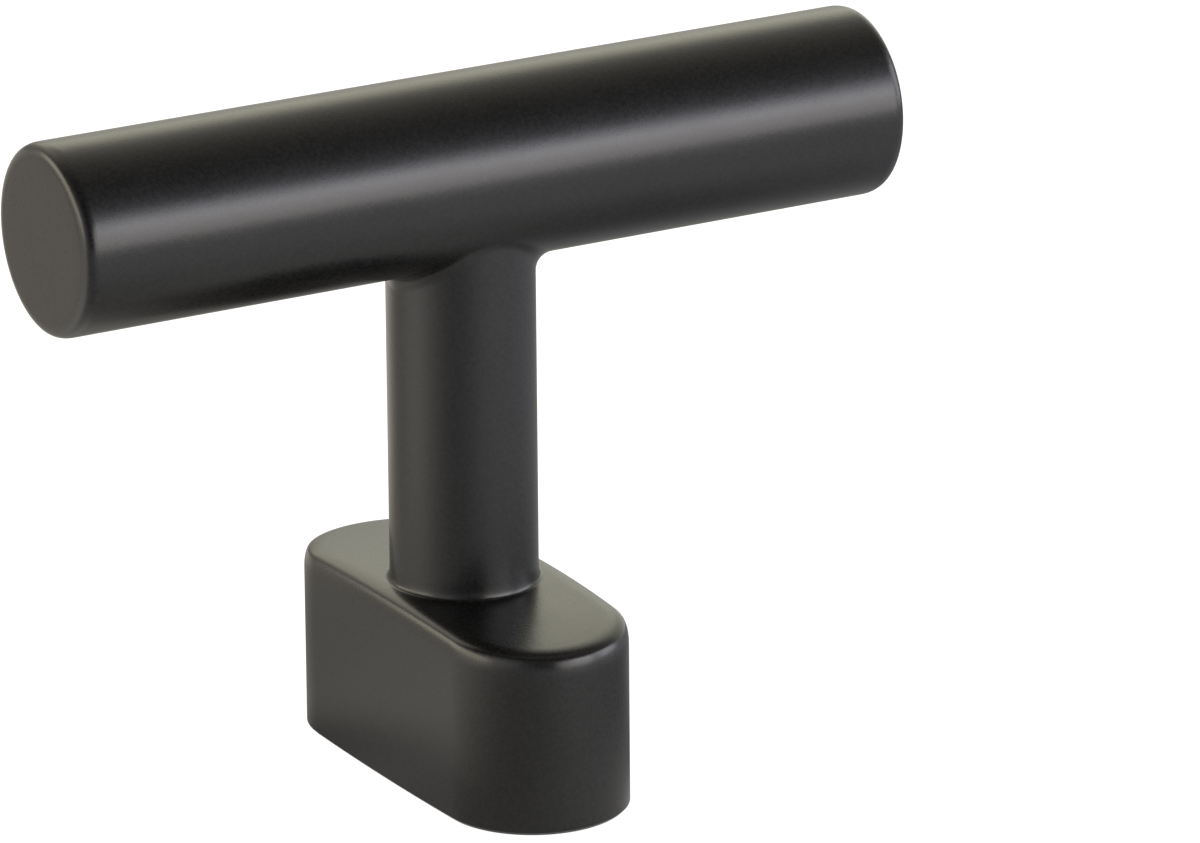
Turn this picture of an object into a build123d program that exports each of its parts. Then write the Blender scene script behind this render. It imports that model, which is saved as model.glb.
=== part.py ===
from build123d import *

import os
from math import atan2, degrees, radians, tan

# T-bar cabinet pull: a round bar on a round neck over an oblong foot, die-cast in one piece.
# X runs along the bar, Y along the foot and Z up, away from the drawer or door front. The origin is the
# centre of the foot's underside, the flat face that lies on the front. Sizes are in millimetres.

# Bar: a round rod with flat ends and a small round at each rim.
bar_diameter = 12.0
bar_length = 57.4
bar_end_round = 0.6
bar_axis_height = 38.8

# Neck: a plain round column between the foot and the bar.
neck_diameter = 9.3
neck_to_bar_blend = 1.7
neck_to_foot_blend = 0.4

# Foot: an oblong block across the bar. Its long sides are bowed, its ends are round, its top is arched.
foot_length = 29.0
foot_width = 12.2
foot_side_bow_radius = 250.0
foot_height = 12.3
foot_end_drop = 0.7
foot_top_round = 1.0
foot_base_chamfer = 0.2

# Fixing: two blind tapped holes in the underside, modelled at the major diameter of their thread.
hole_spacing = 16.0
thread_diameter = 4.0
thread_depth = 8.5
thread_mouth_chamfer = 0.35
drill_point_angle = 118.0

# Sizes that follow from the ones above.
bar_radius = bar_diameter / 2
neck_radius = neck_diameter / 2
half_width = foot_width / 2
half_length = foot_length / 2
hole_radius = thread_diameter / 2

# The end arcs run tangent into the bowed sides. A side arc's centre is bow_centre from the middle line.
bow_centre = foot_side_bow_radius - half_width
foot_end_radius = (foot_side_bow_radius**2 - bow_centre**2 - half_length**2) / (
    2 * (foot_side_bow_radius - half_length)
)
end_centre = half_length - foot_end_radius
side_half_angle = degrees(atan2(end_centre, bow_centre))
end_arc_angle = 180 - 2 * side_half_angle

# Height of the cone that the drill leaves at the bottom of each hole.
drill_point_height = hole_radius / tan(radians(drill_point_angle / 2))

with BuildPart() as handle_body:
    # Foot: the oval outline, raised to its full height.
    with BuildSketch(Plane.XY):
        with BuildLine():
            CenterArc((-bow_centre, 0), foot_side_bow_radius, -side_half_angle, 2 * side_half_angle)
            CenterArc((0, end_centre), foot_end_radius, side_half_angle, end_arc_angle)
            CenterArc((bow_centre, 0), foot_side_bow_radius, 180 - side_half_angle, 2 * side_half_angle)
            CenterArc((0, -end_centre), foot_end_radius, 180 + side_half_angle, end_arc_angle)
        make_face()
    extrude(amount=foot_height)

    # The arched top: what lies under an arc from end to end is kept.
    with BuildSketch(Plane.YZ):
        with BuildLine():
            ThreePointArc(
                (-half_length, foot_height - foot_end_drop),
                (0, foot_height),
                (half_length, foot_height - foot_end_drop),
            )
            Polyline(
                (half_length, foot_height - foot_end_drop),
                (half_length, 0),
                (-half_length, 0),
                (-half_length, foot_height - foot_end_drop),
            )
        make_face()
    extrude(amount=foot_width, both=True, mode=Mode.INTERSECT)

    foot_top = handle_body.faces().sort_by(Axis.Z)[-1]
    fillet(foot_top.edges(), radius=foot_top_round)
    foot_base = handle_body.faces().sort_by(Axis.Z)[0]
    chamfer(foot_base.edges(), length=foot_base_chamfer)

    # Neck, from inside the foot up to the bar's axis.
    with BuildSketch(Plane.XY.offset(foot_height / 2)):
        Circle(neck_radius)
    extrude(amount=bar_axis_height - foot_height / 2)
    neck_foot_seam = handle_body.edges(Select.NEW)
    fillet(neck_foot_seam, radius=neck_to_foot_blend)

    # Bar, centred on the neck.
    with BuildSketch(Plane.YZ.offset(-bar_length / 2)):
        with Locations((0, bar_axis_height)):
            Circle(bar_radius)
    extrude(amount=bar_length)
    neck_bar_seam = handle_body.edges(Select.NEW).filter_by(GeomType.CIRCLE, reverse=True)
    fillet(neck_bar_seam, radius=neck_to_bar_blend)
    bar_rims = handle_body.faces().filter_by(Axis.X).filter_by(GeomType.PLANE).edges()
    fillet(bar_rims, radius=bar_end_round)

    # Tapped holes, drilled up from the underside, one each side of the neck on the foot's middle line.
    with Locations(Plane.XY.rotated((180, 0, 0))):
        with GridLocations(0, hole_spacing, 1, 2):
            Hole(radius=hole_radius, depth=thread_depth)
    hole_mouths = handle_body.faces().sort_by(Axis.Z)[0].inner_wires().edges()
    chamfer(hole_mouths, length=thread_mouth_chamfer)

    # The cone that the drill's point leaves at the end of each hole.
    with Locations(Plane.XY.offset(thread_depth)):
        with GridLocations(0, hole_spacing, 1, 2):
            Cone(
                bottom_radius=hole_radius,
                top_radius=0,
                height=drill_point_height,
                align=(Align.CENTER, Align.CENTER, Align.MIN),
                mode=Mode.SUBTRACT,
            )

handle_body.part.label = "handle_body"

os.makedirs("parts", exist_ok=True)
export_step(handle_body.part, "parts/handle_body.step")
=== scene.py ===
# %% [markdown]
# # A T-bar cabinet pull in satin black
#
# The pull is one die-casting: a round bar on a round neck over an oblong foot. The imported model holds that
# shape. This scene loads it, works out the casting's skin at the same sizes with the finer edges of a real
# casting, coats it, adds the thread of its two tapped holes and lights it as a product is lit in a small
# studio. Lengths in the scene are in metres and Z points away from the drawer front.

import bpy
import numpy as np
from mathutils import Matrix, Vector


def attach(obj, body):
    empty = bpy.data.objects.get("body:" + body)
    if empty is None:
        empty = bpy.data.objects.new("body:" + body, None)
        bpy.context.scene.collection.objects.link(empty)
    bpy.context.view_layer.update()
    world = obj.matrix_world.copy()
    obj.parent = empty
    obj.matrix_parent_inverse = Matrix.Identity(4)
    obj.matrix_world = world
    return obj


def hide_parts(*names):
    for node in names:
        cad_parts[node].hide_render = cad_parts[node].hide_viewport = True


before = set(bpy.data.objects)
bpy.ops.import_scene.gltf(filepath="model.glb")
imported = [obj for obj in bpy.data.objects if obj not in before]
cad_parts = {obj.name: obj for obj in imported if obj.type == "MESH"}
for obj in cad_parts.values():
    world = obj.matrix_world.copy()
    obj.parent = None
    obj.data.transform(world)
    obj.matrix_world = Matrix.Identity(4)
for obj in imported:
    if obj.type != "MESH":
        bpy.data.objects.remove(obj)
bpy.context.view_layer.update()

# %% [markdown]
# ## What the scene starts from
#
# The Standard view transform shows a colour as it is written.

scene = bpy.context.scene
scene.view_settings.view_transform = "Standard"

# %% [markdown]
# ## Where the camera stands
#
# The pull is seen from the left, in front and a little above. The lens is long, as for small goods, so the
# bar keeps nearly the same thickness from end to end. A camera is placed by three directions, which make
# the columns of its matrix: its right, its up, and back, from the subject to the lens. Angles are easier to
# read than nine numbers, so the directions are worked out from an azimuth, an elevation and a small roll.

# %% Camera
view_azimuth = np.radians(-29.9231)
view_elevation = np.radians(18.6918)
view_roll = np.radians(-0.4569)
view_distance = 0.577338
aim_height = 0.0223927
aim_aside = 0.0085272
lens_length = 279.578


def camera_directions(azimuth, elevation, roll):
    """Right, up and back of a camera. Back is (sin a cos e, -cos a cos e, sin e), right is level and at a
    right angle to it, up is back x right, and the roll turns right and up about back."""
    back = np.array([
        np.sin(azimuth) * np.cos(elevation), -np.cos(azimuth) * np.cos(elevation), np.sin(elevation),
    ])
    level = np.array([np.cos(azimuth), np.sin(azimuth), 0.0])
    upright = np.cross(back, level)
    right = np.cos(roll) * level + np.sin(roll) * upright
    up = np.cos(roll) * upright - np.sin(roll) * level
    return right, up, back


view_right, view_up, view_back = camera_directions(view_azimuth, view_elevation, view_roll)
camera_place = np.array([0.0, 0.0, aim_height]) + aim_aside * view_right + view_distance * view_back

lens = bpy.data.cameras.new("camera")
lens.sensor_width = 36.0
lens.lens = lens_length
lens.clip_start = 0.01
camera = bpy.data.objects.new("camera", lens)
scene.collection.objects.link(camera)
facing = np.eye(4)
facing[:3, 0], facing[:3, 1], facing[:3, 2], facing[:3, 3] = view_right, view_up, view_back, camera_place
camera.matrix_world = Matrix(facing.tolist())
scene.camera = camera
print("the camera stands at", camera_place.round(4))

# %% [markdown]
# ## Shader maths as plain expressions
#
# A finish is a chain of small sums on patterns. Nodes for those sums are quick to lose track of, so one
# class wraps a socket and lets Python's own operators add the Math nodes. Everything that isn't plain maths
# comes from one method, which makes a node from its type, sets its settings and then fills its sockets.
# Light that comes from a few directions is written the same way, as a list of soft patches.

# %% A socket that can be added and multiplied


class Signal:
    """A node's output. Sums with it add Math nodes to the same node tree."""

    def __init__(self, tree, socket):
        self.tree, self.socket = tree, socket

    def node(self, kind, settings=None, inputs=None, output=0):
        """A node of this kind: the settings first, then values or links for the sockets named in inputs."""
        made = self.tree.nodes.new(kind)
        for name, value in (settings or {}).items():
            setattr(made, name, value)
        for name, value in (inputs or {}).items():
            if isinstance(value, Signal):
                self.tree.links.new(value.socket, made.inputs[name])
            else:
                made.inputs[name].default_value = value
        return Signal(self.tree, made.outputs[output])

    def sum(self, operation, first, second=0.0):
        return self.node("ShaderNodeMath", {"operation": operation}, {0: first, 1: second})

    def __add__(self, other):
        return self.sum("ADD", self, other)

    def __radd__(self, other):
        return self.sum("ADD", other, self)

    def __sub__(self, other):
        return self.sum("SUBTRACT", self, other)

    def __rsub__(self, other):
        return self.sum("SUBTRACT", other, self)

    def __mul__(self, other):
        return self.sum("MULTIPLY", self, other)

    def __rmul__(self, other):
        return self.sum("MULTIPLY", other, self)

    def exp(self):
        return self.sum("EXPONENT", self)

    def clamp(self):
        return self.node("ShaderNodeClamp", {}, {"Value": self})


def heading(azimuth, elevation):
    """Unit vector of an azimuth and an elevation in degrees: (cos e cos a, cos e sin a, sin e)."""
    a, e = np.radians(azimuth), np.radians(elevation)
    return (float(np.cos(e) * np.cos(a)), float(np.cos(e) * np.sin(a)), float(np.sin(e)))


def soft_patches(direction, patches):
    """Light that is the sum of soft patches, each colour * exp(tightness * (cos(angle) - 1)), where the angle
    is measured from the patch's middle."""
    total = None
    for azimuth, elevation, tightness, colour in patches:
        dot = {0: direction, 1: heading(azimuth, elevation)}
        cosine = direction.node("ShaderNodeVectorMath", {"operation": "DOT_PRODUCT"}, dot, output="Value")
        amount = ((cosine - 1.0) * tightness).exp()
        scaled = {"Vector": colour, "Scale": amount}
        patch = direction.node("ShaderNodeVectorMath", {"operation": "SCALE"}, scaled)
        if total is None:
            total = patch
        else:
            total = direction.node("ShaderNodeVectorMath", {"operation": "ADD"}, {0: total, 1: patch})
    return total


print("shader sums are ready")

# %% [markdown]
# ## The coating
#
# The casting is coated in a satin black powder. Such a coat is nearly black in itself, so what is seen of
# it is mostly the soft reflection of the room. Three things keep it from looking like flat plastic: a grain
# about as fine as flour, left where the powder's grains melted together, a slow waviness of the coat's
# thickness called orange peel, and a colour and gloss that differ a little from grain to grain and from
# place to place. The grain and the waviness bend the light, so they go to Bump nodes. The colour and the
# gloss go to Base Color and Roughness. The patterns are three-dimensional noise in Object coordinates, so
# they run over the bar, the neck and the foot without a seam, as the powder does.

# %% Satin black coat
dark_coat = (0.0026, 0.0026, 0.0025, 1.0)
pale_coat = (0.0100, 0.0096, 0.0092, 1.0)
coat_roughness = 0.275
grain_gloss, cloud_gloss = 0.06, 0.05
grain_mottle, cloud_mottle = 3.0, 0.5
grain_size, grain_depth = 0.00026, 0.0000034
peel_size, peel_depth = 0.0011, 0.0000045
cloud_scale = 260.0


def satin_black():
    """The coating. Each pattern swings about 0.5. The roughness is its mean value plus small shares of the
    grain's and the cloud's swing, and the mix from dark to pale coat is 0.5 plus larger shares of both."""
    material = bpy.data.materials.new("satin_black_coat")
    material.use_nodes = True
    tree = material.node_tree
    shader = tree.nodes["Principled BSDF"]
    place = Signal(tree, tree.nodes.new("ShaderNodeTexCoord").outputs["Object"])

    def pattern(scale, detail, roughness):
        values = {"Vector": place, "Scale": scale, "Detail": detail, "Roughness": roughness}
        return place.node("ShaderNodeTexNoise", {}, values)

    grain = pattern(1 / grain_size, 3.0, 0.65)
    peel = pattern(1 / peel_size, 1.0, 0.4)
    cloud = pattern(cloud_scale, 2.0, 0.5)
    rough = coat_roughness + (grain - 0.5) * grain_gloss + (cloud - 0.5) * cloud_gloss
    pick = ((grain - 0.5) * grain_mottle + (cloud - 0.5) * cloud_mottle + 0.5).clamp()
    mixed = {"Factor": pick, "A": dark_coat, "B": pale_coat}
    colour = place.node("ShaderNodeMix", {"data_type": "RGBA", "clamp_factor": True}, mixed, output=2)
    peel_bump = {"Strength": 1.0, "Distance": peel_depth, "Height": peel}
    wavy = place.node("ShaderNodeBump", {}, peel_bump)
    grain_bump = {"Strength": 1.0, "Distance": grain_depth, "Height": grain, "Normal": wavy}
    grained = place.node("ShaderNodeBump", {}, grain_bump)
    tree.links.new(colour.socket, shader.inputs["Base Color"])
    tree.links.new(rough.socket, shader.inputs["Roughness"])
    tree.links.new(grained.socket, shader.inputs["Normal"])
    return material


coat = satin_black()
print("coat:", len(coat.node_tree.nodes), "nodes")

# %% [markdown]
# ## The casting's true edges
#
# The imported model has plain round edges. On the real casting the dies are polished by hand and the coat
# flows, so an edge turns gently out of each face and tightly only in its middle, and the light that runs
# along it is a narrow line. The hollow round the neck's foot leaves the neck slowly and meets the top in a
# tight turn. A bevel gives one plain round, so the skin is worked out afresh instead, at the same sizes, as
# one closed surface. It has a grid of points per part, and points that two grids share become one point.
# Lengths here are in millimetres until the last step.

# %% Sizes of the skin
bar_radius, bar_half, bar_height = 6.0, 28.7, 38.8
neck_radius, saddle_ball = 4.65, 1.22
foot_half_width, foot_half_length, foot_top, end_drop = 6.1, 14.5, 12.3, 0.7
side_radius = 250.0
rim_tight, rim_wall, rim_top, rim_bend = 0.30, 5.00, 5.00, 2.6
bar_rim_tight, bar_rim_soft, bar_rim_bend = 0.40, 1.90, 1.5
hollow_tight, hollow_soft, hollow_fade = 0.22, 5.0, 0.12
base_chamfer, mouth_chamfer = 0.2, 0.35
columns = 384
turn_steps = 4000
saddle_count, neck_count, hollow_count = 20, 16, 24
flat_count, edge_count, wall_count = 8, 41, 8

side_centre = side_radius - foot_half_width
end_radius = (side_radius**2 - side_centre**2 - foot_half_length**2) / (2 * (side_radius - foot_half_length))
end_centre = foot_half_length - end_radius
end_slope = end_centre / side_centre
arch_radius = (foot_half_length**2 + end_drop**2) / (2 * end_drop)
turn = np.linspace(0.0, 2 * np.pi, columns + 1)
spin = np.stack([np.cos(turn), np.sin(turn)], axis=-1)
print("end radius", round(end_radius, 4), "arch radius", round(arch_radius, 2))

# %% [markdown]
# ## Curves of the foot
#
# The foot's outline is four arcs that run into one another: two bowed sides and two round ends. How far a
# point lies inside it follows from the distances to the arcs' centres. The top is an arch from end to end,
# lowered near the outline by the edge's profile. That profile is given by how tightly it turns at each
# angle of its normal, so one function makes every edge.

# %% Edge profile, outline and top
axis_nudge = 1e-12


def turned_edge(radius):
    """An edge that turns through a right angle. Where its normal stands at the angle w its radius of
    curvature is radius(w), so it has moved in by the integral of radius sin w and along by that of
    radius cos w."""
    w = np.linspace(0.0, np.pi / 2, turn_steps + 1)
    middle = (w[1:] + w[:-1]) / 2
    step = radius(middle) * w[1]
    inward = np.concatenate([[0.0], np.cumsum(step * np.sin(middle))])
    along = np.concatenate([[0.0], np.cumsum(step * np.cos(middle))])
    return inward, along


def soft_shoulders(tight, soft_start, soft_end, bend):
    """Radius of curvature that is tight in the middle of the turn and softer at its start and its end:
    tight + (soft - tight) * |1 - 4 w / pi|^bend."""

    def radius(w):
        soft = np.where(w < np.pi / 4, soft_start, soft_end)
        return tight + (soft - tight) * np.abs(1 - 4 * w / np.pi) ** bend

    return radius


def slow_start(w):
    """Radius of curvature of the hollow, soft where it leaves the neck: tight + soft * exp(-w / fade)."""
    return hollow_tight + hollow_soft * np.exp(-w / hollow_fade)


def meet_circle(ray, centre, radius):
    """Distance along unit rays from the origin to a circle round it: d.c + sqrt((d.c)^2 - |c|^2 + r^2)."""
    along = (ray * centre).sum(axis=-1)
    return along + np.sqrt(np.maximum(along**2 - (centre**2).sum(axis=-1) + radius**2, 0.0))


def foot_outline(ray):
    """Outline points and outward normals in the directions of the rays. A ray meets the side's arc, or the
    end's where that point lies past the line on which the two arcs join. The nudge settles rays that run
    along an axis."""
    side = np.stack([-side_centre * np.sign(ray[:, 0] + axis_nudge), 0 * ray[:, 1]], axis=-1)
    end = np.stack([0 * ray[:, 0], end_centre * np.sign(ray[:, 1] + axis_nudge)], axis=-1)
    on_side = ray * meet_circle(ray, side, side_radius)[:, None]
    on_end = ray * meet_circle(ray, end, end_radius)[:, None]
    at_end = (np.abs(on_end[:, 1]) - end_centre > end_slope * np.abs(on_end[:, 0]))[:, None]
    points = np.where(at_end, on_end, on_side)
    normals = np.where(at_end, (on_end - end) / end_radius, (on_side - side) / side_radius)
    return points, normals


def arch(y):
    """Height of the arched top: foot_top - R + sqrt(R^2 - y^2)."""
    return foot_top - arch_radius + np.sqrt(arch_radius**2 - y**2)


def depth_inside(x, y):
    """Distance from a point inside the outline to it: the arc's radius less the distance to its centre."""
    to_side = side_radius - np.hypot(np.abs(x) + side_centre, y)
    to_end = end_radius - np.hypot(x, np.abs(y) - end_centre)
    return np.where(np.abs(y) - end_centre > end_slope * np.abs(x), to_end, to_side)


def top_height(x, y):
    """The arch, less the drop that the edge has at this depth inside the outline."""
    return arch(y) - rim_up[-1] + np.interp(depth_inside(x, y), rim_in, rim_up)


rim_in, rim_up = turned_edge(soft_shoulders(rim_tight, rim_wall, rim_top, rim_bend))
hollow_in, hollow_along = turned_edge(slow_start)
rim_points, rim_normals = foot_outline(spin)
print("edge reach", rim_in[-1].round(3), "middle", rim_in[turn_steps // 2].round(3))
print("hollow reach", hollow_in[-1].round(3), hollow_along[-1].round(3))
print("outline reaches", np.abs(rim_points).max(axis=0).round(4))

# %% [markdown]
# ## Rows from the bar down to the front
#
# The saddle under the bar is what a small ball leaves when it rolls round the neck and touches the bar all
# the way. Below it come the plain neck, the hollow, the top, the edge, the wall and a fine chamfer. All of
# them are rows round the same axis, with as many points each, so they join into one grid.

# %% Neck and foot
widest_edge = 0.9


def between(first, last, shares):
    """Rows of points from first to last, at these shares of the way."""
    return first + np.asarray(shares)[:, None, None] * (last - first)


def saddle_rows(rows):
    """The rolling ball. At the angle f round the neck its centre is ((r+k) cos f, (r+k) sin f, h - d) with
    d = sqrt((R+k)^2 - (r+k)^2 sin^2 f). The row turns from the bar's contact point to the neck's."""
    out = spin * (neck_radius + saddle_ball)
    drop = np.sqrt((bar_radius + saddle_ball) ** 2 - out[:, 1] ** 2)
    centre = np.column_stack([out, bar_height - drop])
    to_bar = np.column_stack([0 * drop, -out[:, 1], drop]) / (bar_radius + saddle_ball)
    to_neck = np.column_stack([-spin, 0 * drop])
    angle = np.arccos((to_bar * to_neck).sum(axis=-1))[None, :, None]
    share = np.linspace(0.0, 1.0, rows)[:, None, None]
    ways = (np.sin((1 - share) * angle) * to_bar + np.sin(share * angle) * to_neck) / np.sin(angle)
    return centre + saddle_ball * ways


def hollow_rows(rows):
    """The turn between the neck and the top, standing on the top's height at each point."""
    pick = np.linspace(0, turn_steps, rows).astype(int)
    out = neck_radius + hollow_in[pick, None]
    x, y = out * spin[:, 0], out * spin[:, 1]
    return np.stack([x, y, top_height(x, y) + hollow_along[-1] - hollow_along[pick, None]], axis=-1)


def top_rows(flat_rows, edge_rows):
    """Straight across the top from the hollow to the outline, closely spaced where the edge turns."""
    inner = spin * (neck_radius + hollow_in[-1])
    across = rim_points - inner
    slant = (across * rim_normals).sum(axis=-1)
    edge_share = np.minimum(rim_in[-1] / slant, widest_edge)
    pick = np.linspace(turn_steps, 0, edge_rows).astype(int)
    drop_in = rim_in[pick, None] / rim_in[-1] * edge_share
    flat = 1 - (1 - edge_share) * np.linspace(0.0, 1.0, flat_rows)[:, None]
    left = np.concatenate([flat[:-1], drop_in])[:, :, None]
    plan = rim_points - across * left
    return np.concatenate([plan, top_height(plan[..., 0], plan[..., 1])[..., None]], axis=-1)


saddle = saddle_rows(saddle_count)
hollow = hollow_rows(hollow_count)
top = top_rows(flat_count, edge_count)
neck = between(saddle[-1], hollow[0], np.linspace(0, 1, neck_count)[1:-1])
wall_foot = np.column_stack([rim_points, np.full(columns + 1, base_chamfer)])
wall = between(top[-1], wall_foot, np.linspace(0, 1, wall_count)[1:])
base = np.column_stack([rim_points - base_chamfer * rim_normals, np.zeros(columns + 1)])
print("rows:", len(saddle), len(neck), len(hollow), len(top), len(wall))

# %% [markdown]
# ## The bar
#
# The bar is unrolled to a flat sheet: x along it and an angle round it that is 0 at the bottom. The
# saddle's edge is a closed curve on that sheet. Rows spread from it to a rectangle, and plain grids fill
# the rest of the bar. Cutting the neck's shape out of a finished bar would leave ragged faces round the
# saddle instead.

# %% Bar
sheet_half = 10.0
spread_count, spread_bend = 22, 1.3
shaft_count, rim_stride, face_count = 8, 200, 5
quarter = columns // 4
stops = np.array([0, 0.5, 1.5, 2.5, 3.5, 4]) * quarter
corner_x = sheet_half * np.array([1, 1, -1, -1, 1, 1])
corner_angle = np.pi / 2 * np.array([0, 1, 1, -1, -1, 0])
steps = np.arange(columns + 1)
frame_x = np.interp(steps, stops, corner_x)
frame_angle = np.interp(steps, stops, corner_angle)
curve_x = saddle[0][:, 0]
curve_angle = np.arctan2(saddle[0][:, 1], bar_height - saddle[0][:, 2])


def on_bar(x, angle, radius=bar_radius):
    """A point of the unrolled bar: (x, r sin a, h - r cos a)."""
    x, angle, radius = np.broadcast_arrays(x, angle, radius)
    return np.stack([x, radius * np.sin(angle), bar_height - radius * np.cos(angle)], axis=-1)


share = np.linspace(1.0, 0.0, spread_count)[:-1, None] ** spread_bend
spread_x = curve_x + share * (frame_x - curve_x)
around_neck = on_bar(spread_x, curve_angle + share * (frame_angle - curve_angle))
band_x = np.linspace(-sheet_half, sheet_half, quarter + 1)[:, None]
band = on_bar(band_x, np.linspace(np.pi / 2, 3 * np.pi / 2, quarter + 1)[None, :])
bar_rim = turned_edge(soft_shoulders(bar_rim_tight, bar_rim_soft, bar_rim_soft, bar_rim_bend))
inset, along = bar_rim[0][::rim_stride], bar_rim[1][::rim_stride]
shaft_x = np.linspace(sheet_half, bar_half - along[-1], shaft_count + 1)[:-1]
face_radii = (bar_radius - inset[-1]) * np.linspace(1, 0, face_count + 1)[1:]
end_x = np.concatenate([shaft_x, bar_half - along[-1] + along, np.full(face_count, bar_half)])
end_radii = np.concatenate([np.full(shaft_count, bar_radius), bar_radius - inset, face_radii])
ring_angle = np.linspace(-np.pi / 2, 3 * np.pi / 2, 2 * quarter + 1)[None, :]
right_end = on_bar(end_x[:, None], ring_angle, end_radii[:, None])
left_end = on_bar(-end_x[:, None], ring_angle, end_radii[:, None])
print("bar grids:", around_neck.shape, band.shape, right_end.shape)

# %% [markdown]
# ## The underside and its two holes
#
# The underside is split along its middle. Each half spreads from its edge to a round hole, and the same
# columns go on up the hole: over the chamfer at its mouth, along the wall and up the cone that the drill
# leaves.

# %% Underside
hole_radius_mm, hole_depth, hole_middle = 2.0, 8.5, 8.0
drill_half_angle = 59.0
hole_tip = hole_depth + hole_radius_mm / np.tan(np.radians(drill_half_angle))
half = columns // 2
middle_count = 49
middle_x = np.linspace(base[half, 0], base[0, 0], middle_count)[1:-1]
middle_line = np.column_stack([middle_x, 0 * middle_x, 0 * middle_x])


def underside_half(edge, middle_y):
    """Rows from the closed edge of one half to the hole's rim, then up the hole to the drill's point. A ring
    of the radius r at the height z is (r cos a, r sin a + the hole's middle, z), with a from the edge's
    points."""
    angle = np.arctan2(edge[:, 1] - middle_y, edge[:, 0])
    round_ = np.stack([np.cos(angle), np.sin(angle)], axis=-1)
    rings = [(hole_radius_mm + mouth_chamfer, 0.0), (hole_radius_mm, mouth_chamfer),
             (hole_radius_mm, hole_depth / 2), (hole_radius_mm, hole_depth), (0.0, hole_tip)]
    rows = [
        np.column_stack([r * round_[:, 0], r * round_[:, 1] + middle_y, np.full(len(edge), z)])
        for r, z in rings
    ]
    return np.stack([edge, (edge + rows[0]) / 2] + rows)


rear_edge = np.concatenate([base[:half + 1], middle_line, base[:1]])
front_edge = np.concatenate([base[half:], middle_line[::-1], base[half:half + 1]])
undersides = [underside_half(rear_edge, hole_middle), underside_half(front_edge, -hole_middle)]
print("underside grids:", undersides[0].shape, undersides[1].shape)

# %% [markdown]
# ## Joining the grids
#
# Points that agree to a tenth of a micrometre become one, four-sided faces that have lost a corner at a
# pole become triangles, and the result is tested: each edge must be used once in each direction, which
# holds only for a closed surface whose faces all turn the same way. A volume above zero says that they look
# outward.

# %% One closed skin
merge_decimals = 4


def grid_faces(rows, count, start, turned):
    """Four-cornered faces of a grid of rows x count points whose numbers begin at start."""
    first = start + np.arange(rows - 1)[:, None] * count + np.arange(count - 1)[None, :]
    quads = np.stack([first, first + 1, first + 1 + count, first + count], axis=-1).reshape(-1, 4)
    return quads[:, ::-1] if turned else quads


def join(grids):
    """All grids as one list of points and faces, with shared points merged."""
    points, faces, start = [], [], 0
    for grid, turned in grids:
        faces.append(grid_faces(grid.shape[0], grid.shape[1], start, turned))
        points.append(grid.reshape(-1, 3))
        start += grid.shape[0] * grid.shape[1]
    points, faces = np.concatenate(points), np.concatenate(faces)
    rounded = np.round(points, merge_decimals)
    _, first, number = np.unique(rounded, axis=0, return_index=True, return_inverse=True)
    return points[first], number.reshape(-1)[faces]


def split_faces(faces):
    """Whole quads, and triangles from the quads in which two neighbouring corners have become one point."""
    twin = faces == np.roll(faces, -1, axis=1)
    whole = faces[~twin.any(axis=1)]
    broken, where = faces[twin.any(axis=1)], twin[twin.any(axis=1)].argmax(axis=1)
    keep = (where[:, None] + np.array([1, 2, 3])[None, :]) % 4
    return whole, np.take_along_axis(broken, keep, axis=1)


lower = np.concatenate([around_neck, saddle, neck, hollow, top[1:], wall, base[None]])
skin_points, faces = join([
    (lower, True), (band, False), (right_end, False), (left_end, True),
    (undersides[0], True), (undersides[1], True),
])
quads, triangles = split_faces(faces)
triangle_soup = np.concatenate([quads[:, [0, 1, 2]], quads[:, [0, 2, 3]], triangles])
edges = np.concatenate([triangle_soup[:, [0, 1]], triangle_soup[:, [1, 2]], triangle_soup[:, [2, 0]]])
keys = np.sort(edges[:, 0] * len(skin_points) + edges[:, 1])
back_keys = np.sort(edges[:, 1] * len(skin_points) + edges[:, 0])
corners = skin_points[triangle_soup]
volume = (corners[:, 0] * np.cross(corners[:, 1], corners[:, 2])).sum() / 6
print("points", len(skin_points), "quads", len(quads), "triangles", len(triangles))
print("closed:", np.array_equal(keys, back_keys), "outward:", bool(volume > 0))
print("volume", round(float(volume), 1), "mm3")

# %% [markdown]
# ## From points to a piece
#
# Faces that meet at a small angle are shaded as one smooth surface, so only the fine chamfers at the
# underside and at the mouths of the holes stay crisp. The skin stands for the imported casting: it hides it,
# hangs from the root body and takes the coat.

# %% The skin as a mesh
sharp_angle = 28
mesh = bpy.data.meshes.new("casting_skin")
mesh.from_pydata((skin_points * 0.001).tolist(), [], quads.tolist() + triangles.tolist())
mesh.shade_smooth()
mesh.set_sharp_from_angle(angle=np.radians(sharp_angle))
mesh.materials.append(coat)
skin = bpy.data.objects.new("casting_skin", mesh)
scene.collection.objects.link(skin)
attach(skin, "root")
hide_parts("handle_body")
print("skin box:", skin_points.min(axis=0).round(4), skin_points.max(axis=0).round(4))
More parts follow.
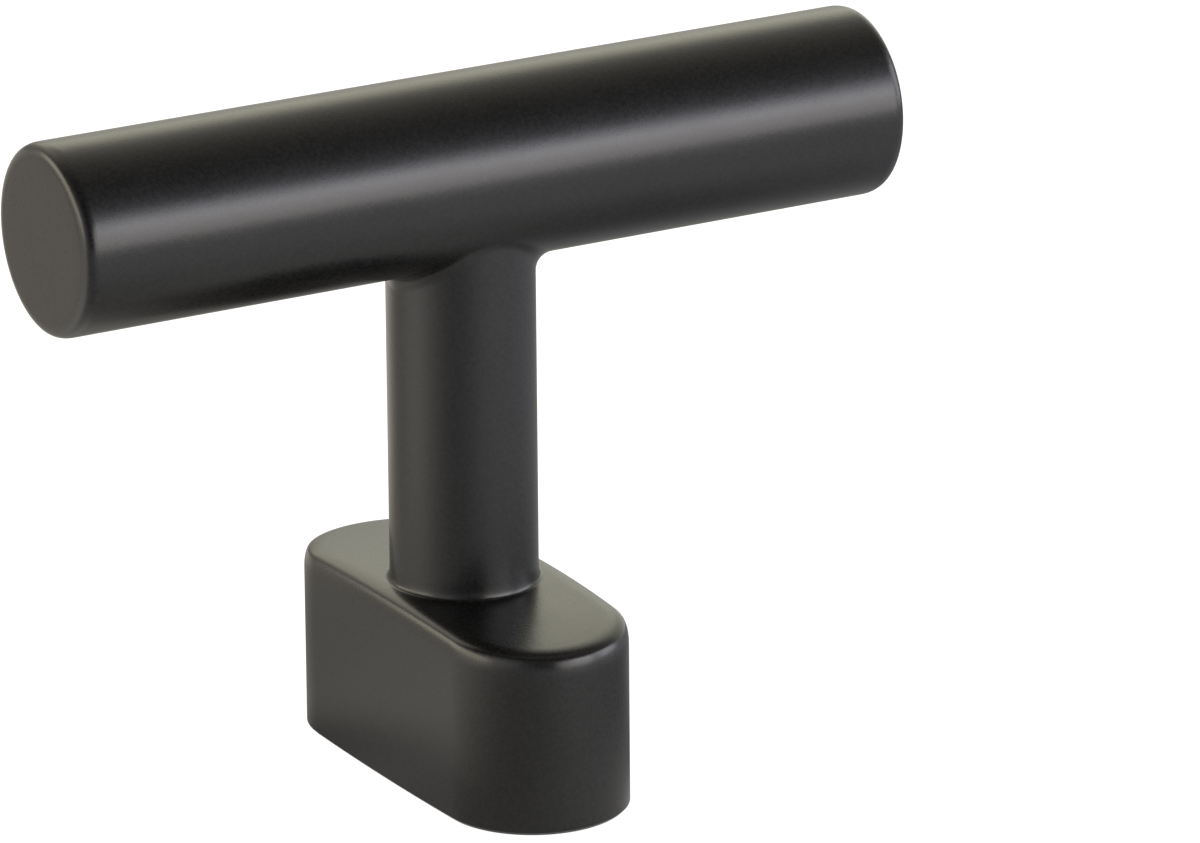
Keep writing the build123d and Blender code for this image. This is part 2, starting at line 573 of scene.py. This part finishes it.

# %% [markdown]
# ## The floor
#
# The pull stands on plain white paper. Seen by the camera the paper is white, with a faint shadow where the
# foot keeps the light off it. For every other ray the floor is a painted glow: an emission that stands in for
# the lit paper, both as the coat reflects it and as it lights the pull. It is brightest and a little warm to
# the left, and darker close to the foot, which is painted shade of the foot. So the floor has two looks, told
# apart by the kind of ray that asks. A camera ray gets the white paper. Any other ray gets the painted glow,
# which changes with the direction seen from the foot and in three rings that melt into one another: one round
# the foot, one a few centimetres out and one farther away. Each line below is a patch of it: azimuth and
# elevation in degrees, tightness and colour.

# %% White paper and its painted glow
floor_height = -0.00005
floor_half = 3.0
paper_shade, paper_light = 0.30, 0.96
ring_edges = [(0.010, 0.018), (0.030, 0.070)]
# The ring round the foot is darker than the rings outside it: painted shade of the foot on the paper.
near_glow = [
    (180, 0, 1.0, (0.40, 0.385, 0.37)),
    (280, 0, 4.0, (0.50, 0.48, 0.46)),
]
middle_glow = [
    (30, 0, 4.0, (0.35, 0.35, 0.36)),
    (120, 0, 3.0, (0.22, 0.21, 0.19)),
    (170, 0, 6.0, (0.15, 0.14, 0.13)),
    (175, 0, 2.0, (0.68, 0.65, 0.60)),
    (285, 0, 3.0, (0.62, 0.62, 0.61)),
]
far_glow = [
    (0, 0, 6.0, (0.33, 0.34, 0.38)),
    (45, 0, 6.0, (0.25, 0.24, 0.20)),
    (90, 0, 6.0, (0.86, 0.79, 0.71)),
    (110, 0, 12.0, (0.18, 0.16, 0.13)),
    (170, 0, 6.0, (1.50, 1.43, 1.33)),
    (215, 0, 6.0, (0.30, 0.30, 0.32)),
    (270, 0, 6.0, (0.69, 0.69, 0.69)),
    (310, 0, 6.0, (0.61, 0.61, 0.61)),
    (340, 0, 8.0, (0.20, 0.20, 0.21)),
]


def paper_and_painted_glow():
    """White with real shade for the camera; for other rays a painted glow, with painted shade by the foot."""
    material = bpy.data.materials.new("paper_and_painted_glow")
    material.use_nodes = True
    tree = material.node_tree
    tree.nodes.clear()
    place = Signal(tree, tree.nodes.new("ShaderNodeTexCoord").outputs["Object"])
    rays = tree.nodes.new("ShaderNodeLightPath")
    camera_ray = Signal(tree, rays.outputs["Is Camera Ray"])
    shade = place.node("ShaderNodeBsdfDiffuse", {}, {"Color": (paper_shade, paper_shade, paper_shade, 1.0)})
    white = place.node("ShaderNodeEmission", {}, {"Color": (1.0, 1.0, 1.0, 1.0), "Strength": paper_light})
    seen = place.node("ShaderNodeAddShader", {}, {0: shade, 1: white})
    reach = place.node("ShaderNodeVectorMath", {"operation": "LENGTH"}, {0: place}, output="Value")
    outward = place.node("ShaderNodeVectorMath", {"operation": "NORMALIZE"}, {0: place})
    rings = [soft_patches(outward, patches) for patches in (near_glow, middle_glow, far_glow)]
    colour = rings[0]
    for ring, (start, end) in zip(rings[1:], ring_edges):
        span = {"Value": reach, "From Min": start, "From Max": end}
        past = place.node("ShaderNodeMapRange", {"interpolation_type": "SMOOTHSTEP"}, span)
        mixed = {"Factor": past, "A": colour, "B": ring}
        colour = place.node("ShaderNodeMix", {"data_type": "RGBA"}, mixed, output=2)
    # The glow is painted light: the floor emits it for every ray but the camera's, though it is no lamp.
    glow = place.node("ShaderNodeEmission", {}, {"Color": colour, "Strength": 1.0})
    paper = place.node("ShaderNodeMixShader", {}, {0: camera_ray, 1: glow, 2: seen})
    output = tree.nodes.new("ShaderNodeOutputMaterial")
    tree.links.new(paper.socket, output.inputs["Surface"])
    return material


square = ((-1, -1), (1, -1), (1, 1), (-1, 1))
floor_corners = [(x * floor_half, y * floor_half, floor_height) for x, y in square]
sheet = bpy.data.meshes.new("floor")
sheet.from_pydata(floor_corners, [], [(0, 1, 2, 3)])
floor = bpy.data.objects.new("floor", sheet)
scene.collection.objects.link(floor)
sheet.materials.append(paper_and_painted_glow())
print("floor at", floor_height * 1000, "mm")

# %% [markdown]
# ## The room
#
# The camera sees a white backdrop. The coat sees the room: brightest at the right behind the pull and high
# up behind it, cool at the right in front, weaker on the left and dark where the camera stands. An even
# white room would light every side of the bar alike and wash out its bands, so the room is a sum of soft
# patches too.

# %% Room light
room = bpy.data.worlds.new("studio_room")
room.use_nodes = True
scene.world = room
tree = room.node_tree
tree.nodes.clear()
sky = Signal(tree, tree.nodes.new("ShaderNodeTexCoord").outputs["Generated"])
room_glow = soft_patches(sky, [
    (38, 6, 8.0, (1.62, 1.62, 1.43)),
    (60, 60, 5.0, (0.36, 0.34, 0.30)),
    (100, 38, 10.0, (1.40, 1.28, 1.12)),
    (125, 4, 12.0, (0.50, 0.52, 0.48)),
    (180, 4, 8.0, (0.55, 0.50, 0.40)),
    (205, 10, 8.0, (0.94, 0.95, 1.00)),
    (320, 6, 8.0, (1.39, 1.43, 1.59)),
])
camera_ray = Signal(tree, tree.nodes.new("ShaderNodeLightPath").outputs["Is Camera Ray"])
mixed = {"Factor": camera_ray, "A": room_glow, "B": (1.0, 1.0, 1.0, 1.0)}
seen = sky.node("ShaderNodeMix", {"data_type": "RGBA"}, mixed, output=2)
backdrop = sky.node("ShaderNodeBackground", {}, {"Color": seen, "Strength": 1.0})
output = tree.nodes.new("ShaderNodeOutputWorld")
tree.links.new(backdrop.socket, output.inputs["Surface"])
print("room:", len(tree.nodes), "nodes")

# %% [markdown]
# ## The lamps
#
# Five soft boxes light the pull: the key and a smaller one above it on the right in front, one at the right
# side, one low on the left and a dim one behind. A flat lamp's brightness, seen in a reflection, is its
# power divided by pi times its area, so the lamps are set by the brightness that they should have and the
# power follows. A line of the list is a name, azimuth, elevation, distance, width, height, brightness and
# colour.

# %% Soft boxes
lamp_aim = Vector((0.0, 0.0, 0.022))
soft_boxes = [
    ("key_box", 295, 10, 1.2, 42, 28, 3.51, (1.0, 0.94, 0.90)),
    ("top_box", 304, 22, 1.2, 26, 18, 2.76, (0.859, 0.873, 1.0)),
    ("side_box", 340, 16, 1.2, 28, 34, 3.30, (0.914, 0.929, 1.0)),
    ("back_box", 68, 26, 1.4, 34, 22, 0.91, (1.0, 0.978, 0.714)),
    ("left_box", 157, 7, 1.4, 64, 20, 3.45, (1.0, 0.922, 0.719)),
]


def soft_box(name, azimuth, elevation, distance, width, height, brightness, colour):
    """A rectangular lamp that faces the middle of the pull. Width and height are the angles in degrees that
    it fills there, so its side is 2 * distance * tan(angle / 2)."""
    outward = Vector(heading(azimuth, elevation))
    lamp = bpy.data.lights.new(name, "AREA")
    lamp.shape = "RECTANGLE"
    lamp.size = 2 * distance * np.tan(np.radians(width / 2))
    lamp.size_y = 2 * distance * np.tan(np.radians(height / 2))
    lamp.energy = brightness * lamp.size * lamp.size_y * np.pi
    lamp.color = colour
    box = bpy.data.objects.new(name, lamp)
    scene.collection.objects.link(box)
    box.location = lamp_aim + outward * distance
    box.rotation_euler = outward.to_track_quat("Z", "Y").to_euler()
    box.visible_camera = False
    return box


lamps = [soft_box(*values) for values in soft_boxes]
print("lamps:", [(lamp.name, round(lamp.data.energy, 2)) for lamp in lamps])

# %% [markdown]
# ## The thread
#
# The two holes in the foot are tapped, because the pull is held from behind the drawer front. The skin's
# holes are plain at the thread's widest diameter, so the thread itself is added as what it is: a ridge that
# winds along the wall of the hole. A bump could only paint its shade. Its profile is carried along a helix,
# and each end of the ridge sinks back into the wall, as a tapped thread runs out.

# %% Thread ridges
thread_pitch = 0.0007
hole_radius = hole_radius_mm / 1000
hole_offset = hole_middle / 1000
crest_radius = 0.00162
thread_start = 0.00045
thread_end = 0.0081
wall_overlap = 0.00001
steps_per_turn = 60
ridge_across = np.array([-0.44, -0.11, 0.11, 0.44, 0.44, -0.44])
ridge_reach = np.array([0.0, 1.0, 1.0, 0.0, -0.12, -0.12])


def thread_ridge(name, middle_y):
    """A ridge on a helix. Along the turn t, the height is start + pitch * t / 2 pi. The profile has six
    points: the foot of one flank, the crest's two ends, the foot of the other flank and two inside the wall.
    The crest's reach into the hole grows from none to full in half a turn and shrinks again at the end."""
    turns = (thread_end - thread_start) / thread_pitch
    steps = int(turns * steps_per_turn)
    t = np.linspace(0.0, 2 * np.pi * turns, steps + 1)[:, None]
    ease = np.clip(np.minimum(t, t[-1] - t) / np.pi, 0.0, 1.0)
    ease = ease * ease * (3 - 2 * ease)
    across = ridge_across[None, :] * thread_pitch
    reach = ridge_reach[None, :]
    growth = np.where(reach > 0, ease, 1.0)
    radius = hole_radius + wall_overlap - reach * (hole_radius - crest_radius) * growth
    height = thread_start + thread_pitch * t / (2 * np.pi) + across
    points = np.stack([radius * np.cos(t), radius * np.sin(t) + middle_y, height], axis=-1).reshape(-1, 3)
    count = len(ridge_reach)
    rows = np.arange(steps)[:, None] * count
    ring = np.arange(count)[None, :]
    ahead = (ring + 1) % count
    later = rows + count
    quads = np.stack([rows + ring, rows + ahead, later + ahead, later + ring], axis=-1).reshape(-1, 4)
    last = steps * count
    caps = [tuple(range(count - 1, -1, -1)), tuple(range(last, last + count))]
    mesh = bpy.data.meshes.new(name)
    mesh.from_pydata(points.tolist(), [], quads.tolist() + caps)
    mesh.materials.append(coat)
    ridge = bpy.data.objects.new(name, mesh)
    scene.collection.objects.link(ridge)
    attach(ridge, "root")
    return ridge


ridges = [thread_ridge("thread_front", -hole_offset), thread_ridge("thread_rear", hole_offset)]
print("thread ridges:", [(r.name, len(r.data.polygons)) for r in ridges])
